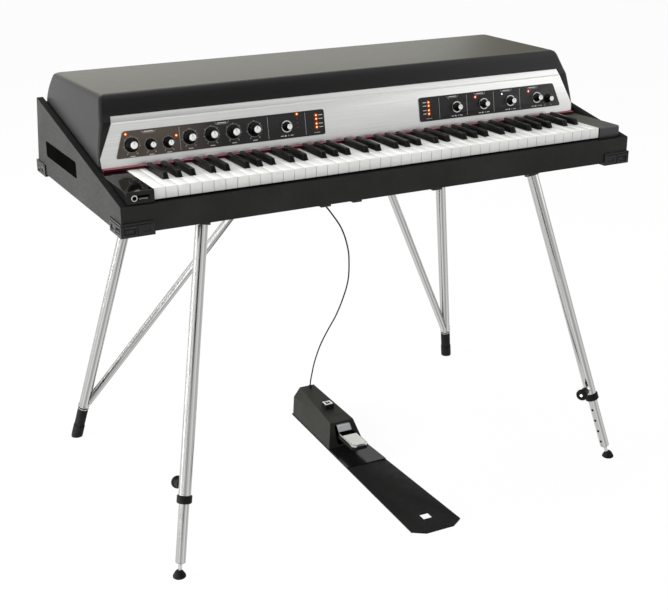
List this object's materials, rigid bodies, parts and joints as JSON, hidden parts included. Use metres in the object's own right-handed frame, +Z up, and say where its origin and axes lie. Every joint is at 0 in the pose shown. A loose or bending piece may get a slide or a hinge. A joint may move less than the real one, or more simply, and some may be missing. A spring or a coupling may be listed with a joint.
{
  "type": "electric piano",
  "caption": "Stage electric piano with hooded tone generator, aluminium control panel, splayed adjustable legs, cross braces and a corded floor pedal.",
  "frame": {"origin": "on the floor, under the middle of the bounding box of everything but the cord", "axes": "+X along the keyboard from bass to treble, +Y from the player to the rear, +Z up"},
  "size_m": [1.154, 0.8044, 0.898],
  "materials": {
    "vinyl": "black textured vinyl over board",
    "board": "black painted board",
    "hood_shell": "satin moulded shell",
    "panel_aluminium": "brushed along its length",
    "plate_black": "matt",
    "knob_black": "satin",
    "key_white": "gloss",
    "key_black": "satin",
    "cheek_black": "gloss front",
    "cheek_grey": "matt",
    "felt": "wool felt",
    "action_wood": "clear lacquer",
    "harp_metal": "plated",
    "damper_black": "matt",
    "circuit_board": "matt",
    "chrome": "polished",
    "fitting_black": "satin",
    "pedal_steel": "satin black",
    "cable_rubber": "matt"
  },
  "bodies": {
    "piano": {"bottom_board": "board", "left_side_panel": "vinyl", "right_side_panel": "vinyl", "front_rail": "vinyl", "rear_panel": "vinyl", "control_panel": "panel_aluminium", "left_control_plate": "plate_black", "right_control_plate": "plate_black", "left_cheek_block": "cheek_black", "right_cheek_block": "cheek_grey", "key_felt": "felt", "key_frame": "key_white", "action_frame": "action_wood", "harp": "harp_metal", "preamp_board": "circuit_board", "pedal_base": "pedal_steel", "pedal_housing": "pedal_steel", "sustain_cable": "cable_rubber", "front_left_leg": "chrome", "rear_left_leg": "chrome", "left_brace": "chrome", "front_left_corner": "fitting_black", "rear_left_corner": "fitting_black", "front_right_leg": "chrome", "rear_right_leg": "chrome", "right_brace": "chrome", "front_right_corner": "fitting_black", "rear_right_corner": "fitting_black"},
    "hood": {"hood": "hood_shell"},
    "damper_bar": {"damper_bar": "damper_black"},
    "pedal_lever": {"pedal_lever": "chrome"},
    "knob_01": {"knob_01": "knob_black"},
    "knob_02": {"knob_02": "knob_black"},
    "knob_03": {"knob_03": "knob_black"},
    "knob_04": {"knob_04": "knob_black"},
    "knob_05": {"knob_05": "knob_black"},
    "knob_06": {"knob_06": "knob_black"},
    "knob_07": {"knob_07": "knob_black"},
    "knob_08": {"knob_08": "knob_black"},
    "knob_09": {"knob_09": "knob_black"},
    "knob_10": {"knob_10": "knob_black"},
    "knob_11": {"knob_11": "knob_black"},
    "knob_12": {"knob_12": "knob_black"},
    "knob_13": {"knob_13": "knob_black"},
    "front_left_leg_extension": {"front_left_leg_extension": "chrome"},
    "left_clamp_screw": {"left_clamp_screw": "fitting_black"},
    "front_right_leg_extension": {"front_right_leg_extension": "chrome"},
    "right_clamp_screw": {"right_clamp_screw": "fitting_black"},
    "key_c": {"key_c": "key_white"},
    "key_c_sharp": {"key_c_sharp": "key_black"},
    "key_d": {"key_d": "key_white"},
    "key_d_sharp": {"key_d_sharp": "key_black"},
    "key_e": {"key_e": "key_white"},
    "key_f": {"key_f": "key_white"},
    "key_f_sharp": {"key_f_sharp": "key_black"},
    "key_g": {"key_g": "key_white"},
    "key_g_sharp": {"key_g_sharp": "key_black"},
    "key_a": {"key_a": "key_white"},
    "key_a_sharp": {"key_a_sharp": "key_black"},
    "key_b": {"key_b": "key_white"}
  },
  "joints": [
    {"name": "key_c_press", "type": "hinge", "parent": "piano", "child": "key_c", "pos_m": [0, 0, 0.7385], "axis": [1, 0, 0], "range_deg": [0, 2.4], "stiffness_Nm_per_rad": 1, "springref_deg": -6.88},
    {"name": "key_c_sharp_press", "type": "hinge", "parent": "piano", "child": "key_c_sharp", "pos_m": [0, 0, 0.7385], "axis": [1, 0, 0], "range_deg": [0, 2.4], "stiffness_Nm_per_rad": 1, "springref_deg": -6.88},
    {"name": "key_d_press", "type": "hinge", "parent": "piano", "child": "key_d", "pos_m": [0, 0, 0.7385], "axis": [1, 0, 0], "range_deg": [0, 2.4], "stiffness_Nm_per_rad": 1, "springref_deg": -6.88},
    {"name": "key_d_sharp_press", "type": "hinge", "parent": "piano", "child": "key_d_sharp", "pos_m": [0, 0, 0.7385], "axis": [1, 0, 0], "range_deg": [0, 2.4], "stiffness_Nm_per_rad": 1, "springref_deg": -6.88},
    {"name": "key_e_press", "type": "hinge", "parent": "piano", "child": "key_e", "pos_m": [0, 0, 0.7385], "axis": [1, 0, 0], "range_deg": [0, 2.4], "stiffness_Nm_per_rad": 1, "springref_deg": -6.88},
    {"name": "key_f_press", "type": "hinge", "parent": "piano", "child": "key_f", "pos_m": [0, 0, 0.7385], "axis": [1, 0, 0], "range_deg": [0, 2.4], "stiffness_Nm_per_rad": 1, "springref_deg": -6.88},
    {"name": "key_f_sharp_press", "type": "hinge", "parent": "piano", "child": "key_f_sharp", "pos_m": [0, 0, 0.7385], "axis": [1, 0, 0], "range_deg": [0, 2.4], "stiffness_Nm_per_rad": 1, "springref_deg": -6.88},
    {"name": "key_g_press", "type": "hinge", "parent": "piano", "child": "key_g", "pos_m": [0, 0, 0.7385], "axis": [1, 0, 0], "range_deg": [0, 2.4], "stiffness_Nm_per_rad": 1, "springref_deg": -6.88},
    {"name": "key_g_sharp_press", "type": "hinge", "parent": "piano", "child": "key_g_sharp", "pos_m": [0, 0, 0.7385], "axis": [1, 0, 0], "range_deg": [0, 2.4], "stiffness_Nm_per_rad": 1, "springref_deg": -6.88},
    {"name": "key_a_press", "type": "hinge", "parent": "piano", "child": "key_a", "pos_m": [0, 0, 0.7385], "axis": [1, 0, 0], "range_deg": [0, 2.4], "stiffness_Nm_per_rad": 1, "springref_deg": -6.88},
    {"name": "key_a_sharp_press", "type": "hinge", "parent": "piano", "child": "key_a_sharp", "pos_m": [0, 0, 0.7385], "axis": [1, 0, 0], "range_deg": [0, 2.4], "stiffness_Nm_per_rad": 1, "springref_deg": -6.88},
    {"name": "key_b_press", "type": "hinge", "parent": "piano", "child": "key_b", "pos_m": [0, 0, 0.7385], "axis": [1, 0, 0], "range_deg": [0, 2.4], "stiffness_Nm_per_rad": 1, "springref_deg": -6.88},
    {"name": "knob_01_turn", "type": "hinge", "parent": "piano", "child": "knob_01", "pos_m": [-0.488, -0.06607, 0.80436], "axis": [0, -0.9874, 0.1585], "range_deg": [-150, 150]},
    {"name": "knob_02_turn", "type": "hinge", "parent": "piano", "child": "knob_02", "pos_m": [-0.45, -0.06655, 0.8014], "axis": [0, -0.9874, 0.1585], "range_deg": [-150, 150]},
    {"name": "knob_03_turn", "type": "hinge", "parent": "piano", "child": "knob_03", "pos_m": [-0.414, -0.06655, 0.8014], "axis": [0, -0.9874, 0.1585], "range_deg": [-150, 150]},
    {"name": "knob_04_turn", "type": "hinge", "parent": "piano", "child": "knob_04", "pos_m": [-0.3695, -0.06575, 0.80634], "axis": [0, -0.9874, 0.1585], "range_deg": [-150, 150]},
    {"name": "knob_05_turn", "type": "hinge", "parent": "piano", "child": "knob_05", "pos_m": [-0.324, -0.06567, 0.80683], "axis": [0, -0.9874, 0.1585], "range_deg": [-150, 150]},
    {"name": "knob_06_turn", "type": "hinge", "parent": "piano", "child": "knob_06", "pos_m": [-0.2775, -0.06567, 0.80683], "axis": [0, -0.9874, 0.1585], "range_deg": [-150, 150]},
    {"name": "knob_07_turn", "type": "hinge", "parent": "piano", "child": "knob_07", "pos_m": [-0.2325, -0.06567, 0.80683], "axis": [0, -0.9874, 0.1585], "range_deg": [-150, 150]},
    {"name": "knob_08_turn", "type": "hinge", "parent": "piano", "child": "knob_08", "pos_m": [-0.162, -0.06599, 0.80486], "axis": [0, -0.9874, 0.1585], "range_deg": [-150, 150]},
    {"name": "knob_09_turn", "type": "hinge", "parent": "piano", "child": "knob_09", "pos_m": [0.2445, -0.06615, 0.80387], "axis": [0, -0.9874, 0.1585], "range_deg": [-150, 150]},
    {"name": "knob_10_turn", "type": "hinge", "parent": "piano", "child": "knob_10", "pos_m": [0.3145, -0.06615, 0.80387], "axis": [0, -0.9874, 0.1585], "range_deg": [-150, 150]},
    {"name": "knob_11_turn", "type": "hinge", "parent": "piano", "child": "knob_11", "pos_m": [0.3845, -0.06615, 0.80387], "axis": [0, -0.9874, 0.1585], "range_deg": [-150, 150]},
    {"name": "knob_12_turn", "type": "hinge", "parent": "piano", "child": "knob_12", "pos_m": [0.456, -0.06615, 0.80387], "axis": [0, -0.9874, 0.1585], "range_deg": [-150, 150]},
    {"name": "knob_13_turn", "type": "hinge", "parent": "piano", "child": "knob_13", "pos_m": [0.4855, -0.06694, 0.79893], "axis": [0, -0.9874, 0.1585], "range_deg": [-150, 150]},
    {"name": "hood_lift", "type": "slide", "parent": "piano", "child": "hood", "axis": [0, 0, 1], "range_m": [0, 0.12]},
    {"name": "pedal_press", "type": "hinge", "parent": "piano", "child": "pedal_lever", "pos_m": [0.02025, 0.15394, 0.042], "axis": [0.9999, -0.0148, 0], "range_deg": [0, 3.5], "stiffness_Nm_per_rad": 8, "springref_deg": -5.73},
    {"name": "damper_drop", "type": "hinge", "parent": "piano", "child": "damper_bar", "pos_m": [0, 0.224, 0.8154], "axis": [1, 0, 0], "range_deg": [0, 3], "stiffness_Nm_per_rad": 0.5, "springref_deg": -17.19},
    {"name": "front_left_leg_slide", "type": "slide", "parent": "piano", "child": "front_left_leg_extension", "axis": [0.2042, 0.223, 0.9532], "range_m": [0, 0.075]},
    {"name": "left_clamp_turn", "type": "hinge", "parent": "piano", "child": "left_clamp_screw", "pos_m": [-0.4923, -0.26847, 0.169], "axis": [0.0048, 0.9735, -0.2287], "range_deg": [0, 340]},
    {"name": "front_right_leg_slide", "type": "slide", "parent": "piano", "child": "front_right_leg_extension", "axis": [-0.2042, 0.223, 0.9532], "range_m": [0, 0.075]},
    {"name": "right_clamp_turn", "type": "hinge", "parent": "piano", "child": "right_clamp_screw", "pos_m": [0.4923, -0.26847, 0.169], "axis": [-0.8545, -0.5157, -0.0624], "range_deg": [0, 340]}
  ],
  "couplings": [
    {"joint": "damper_drop", "follows": "pedal_press", "ratio": 0.85714}
  ]
}
